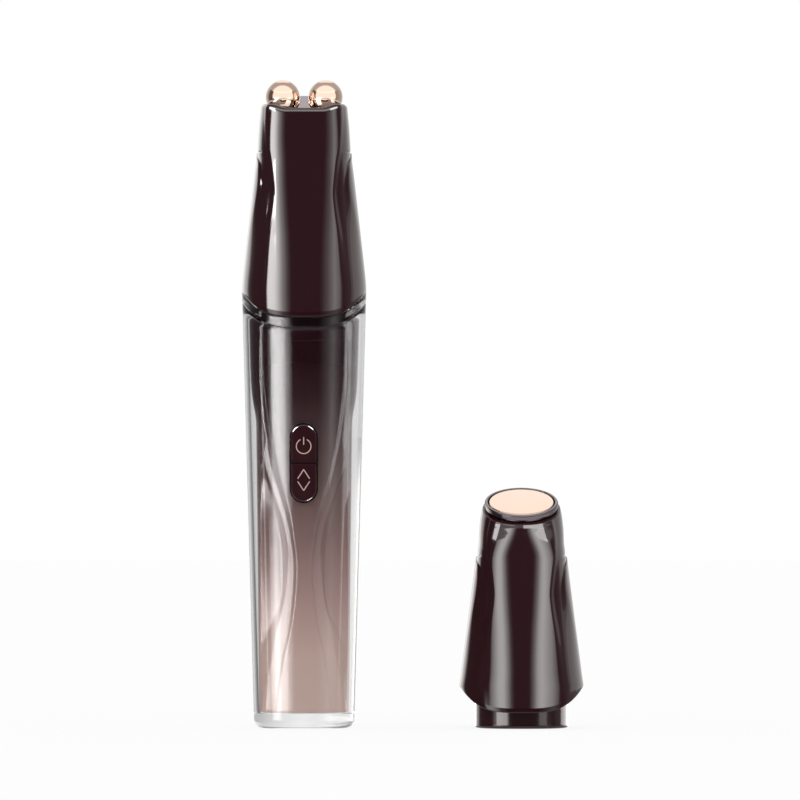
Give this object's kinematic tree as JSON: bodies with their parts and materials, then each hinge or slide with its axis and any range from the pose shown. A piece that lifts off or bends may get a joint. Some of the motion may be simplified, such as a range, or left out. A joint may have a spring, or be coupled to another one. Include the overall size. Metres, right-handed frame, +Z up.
{
  "type": "radio frequency eye massager",
  "caption": "Cordless facial wand: waisted core in a clear tapering sleeve, split pill key, push-on head with rolling balls, and a spare head with a slanted disc standing beside it.",
  "frame": {"origin": "middle of the handle's foot, on the surface the handle stands on", "axes": "+Z up along the handle, -Y to the front where the keys are, +X to the right towards the spare head"},
  "size_m": [0.0853, 0.0286, 0.1618],
  "materials": {
    "clear_sleeve": "clear polished acrylic",
    "smoke_ring": "translucent grey, polished",
    "lacquer": "deep burgundy gloss lacquer",
    "core": "burgundy fading to pale taupe, gloss",
    "black_plastic": "fine moulded",
    "rose_gold": "rose gold plated, mirror",
    "pale_icon": "translucent pale rose",
    "steel": "plain steel",
    "gold": "gold plated",
    "mauve_metal": "satin grey mauve",
    "board": "green solder mask",
    "cell": "wrapped cell",
    "ferrite": "dull dark grey",
    "seal_rubber": "soft rubber",
    "cream_plastic": "plain moulded"
  },
  "bodies": {
    "handle": {"outer_sleeve": "clear_sleeve", "collar_ring": "smoke_ring", "core_front_shell": "core", "core_rear_shell": "core", "head_socket": "core", "chassis": "black_plastic", "power_switch": "steel", "level_switch": "steel", "key_board": "board", "key_board_screw_upper": "steel", "key_board_screw_lower": "steel", "rf_board": "board", "rf_transformer": "ferrite", "battery": "cell", "main_board": "board", "controller_chip": "ferrite", "charge_board": "board", "charge_port": "steel", "contact_board": "board", "contact_pin_left": "gold", "contact_pin_right": "gold", "handle_magnet": "steel", "vibration_motor": "steel"},
    "power_key": {"power_key": "lacquer", "power_key_lens": "pale_icon", "power_switch_plunger": "black_plastic"},
    "level_key": {"level_key": "lacquer", "level_key_lens": "pale_icon", "level_switch_plunger": "black_plastic"},
    "motor_weight": {"motor_weight": "steel"},
    "roller_head": {"roller_plug": "black_plastic", "roller_contact_left": "gold", "roller_contact_right": "gold", "roller_magnet": "steel", "roller_spine": "cream_plastic", "roller_screw": "steel", "roller_shell": "lacquer", "axle_post": "mauve_metal", "axle_left": "gold", "axle_right": "gold"},
    "ball_left": {"ball_left": "rose_gold", "bush_left": "black_plastic"},
    "ball_right": {"ball_right": "rose_gold", "bush_right": "black_plastic"},
    "disc_head": {"disc_plug": "black_plastic", "disc_contact_left": "gold", "disc_contact_right": "gold", "disc_magnet": "steel", "disc_spine": "cream_plastic", "disc_screw": "steel", "disc_shell": "lacquer", "disc_bezel": "mauve_metal", "disc_electrode": "rose_gold", "disc_seal": "seal_rubber", "disc_heater": "gold", "disc_insulator": "cream_plastic", "disc_retainer": "steel"}
  },
  "joints": [
    {"name": "power_key_press", "type": "slide", "parent": "handle", "child": "power_key", "axis": [0, 1, 0], "range_m": [0, 0.0004], "stiffness_N_per_m": 1500},
    {"name": "level_key_press", "type": "slide", "parent": "handle", "child": "level_key", "axis": [0, 1, 0], "range_m": [0, 0.0004], "stiffness_N_per_m": 1500},
    {"name": "motor_weight_spin", "type": "hinge", "parent": "handle", "child": "motor_weight", "pos_m": [0, -0.0049, 0.0895], "axis": [0, 0, 1], "continuous": true},
    {"name": "roller_head_lift", "type": "slide", "parent": "handle", "child": "roller_head", "axis": [0, 0, 1], "range_m": [0, 0.03]},
    {"name": "ball_left_spin", "type": "hinge", "parent": "roller_head", "child": "ball_left", "pos_m": [-0.00535, 0, 0.1576], "axis": [-0.866, 0, 0.5], "continuous": true},
    {"name": "ball_right_spin", "type": "hinge", "parent": "roller_head", "child": "ball_right", "pos_m": [0.00535, 0, 0.1576], "axis": [0.866, 0, 0.5], "continuous": true},
    {"name": "disc_head_lift", "type": "slide", "parent": "handle", "child": "disc_head", "axis": [0, 0, 1], "range_m": [0, 0.06]}
  ]
}
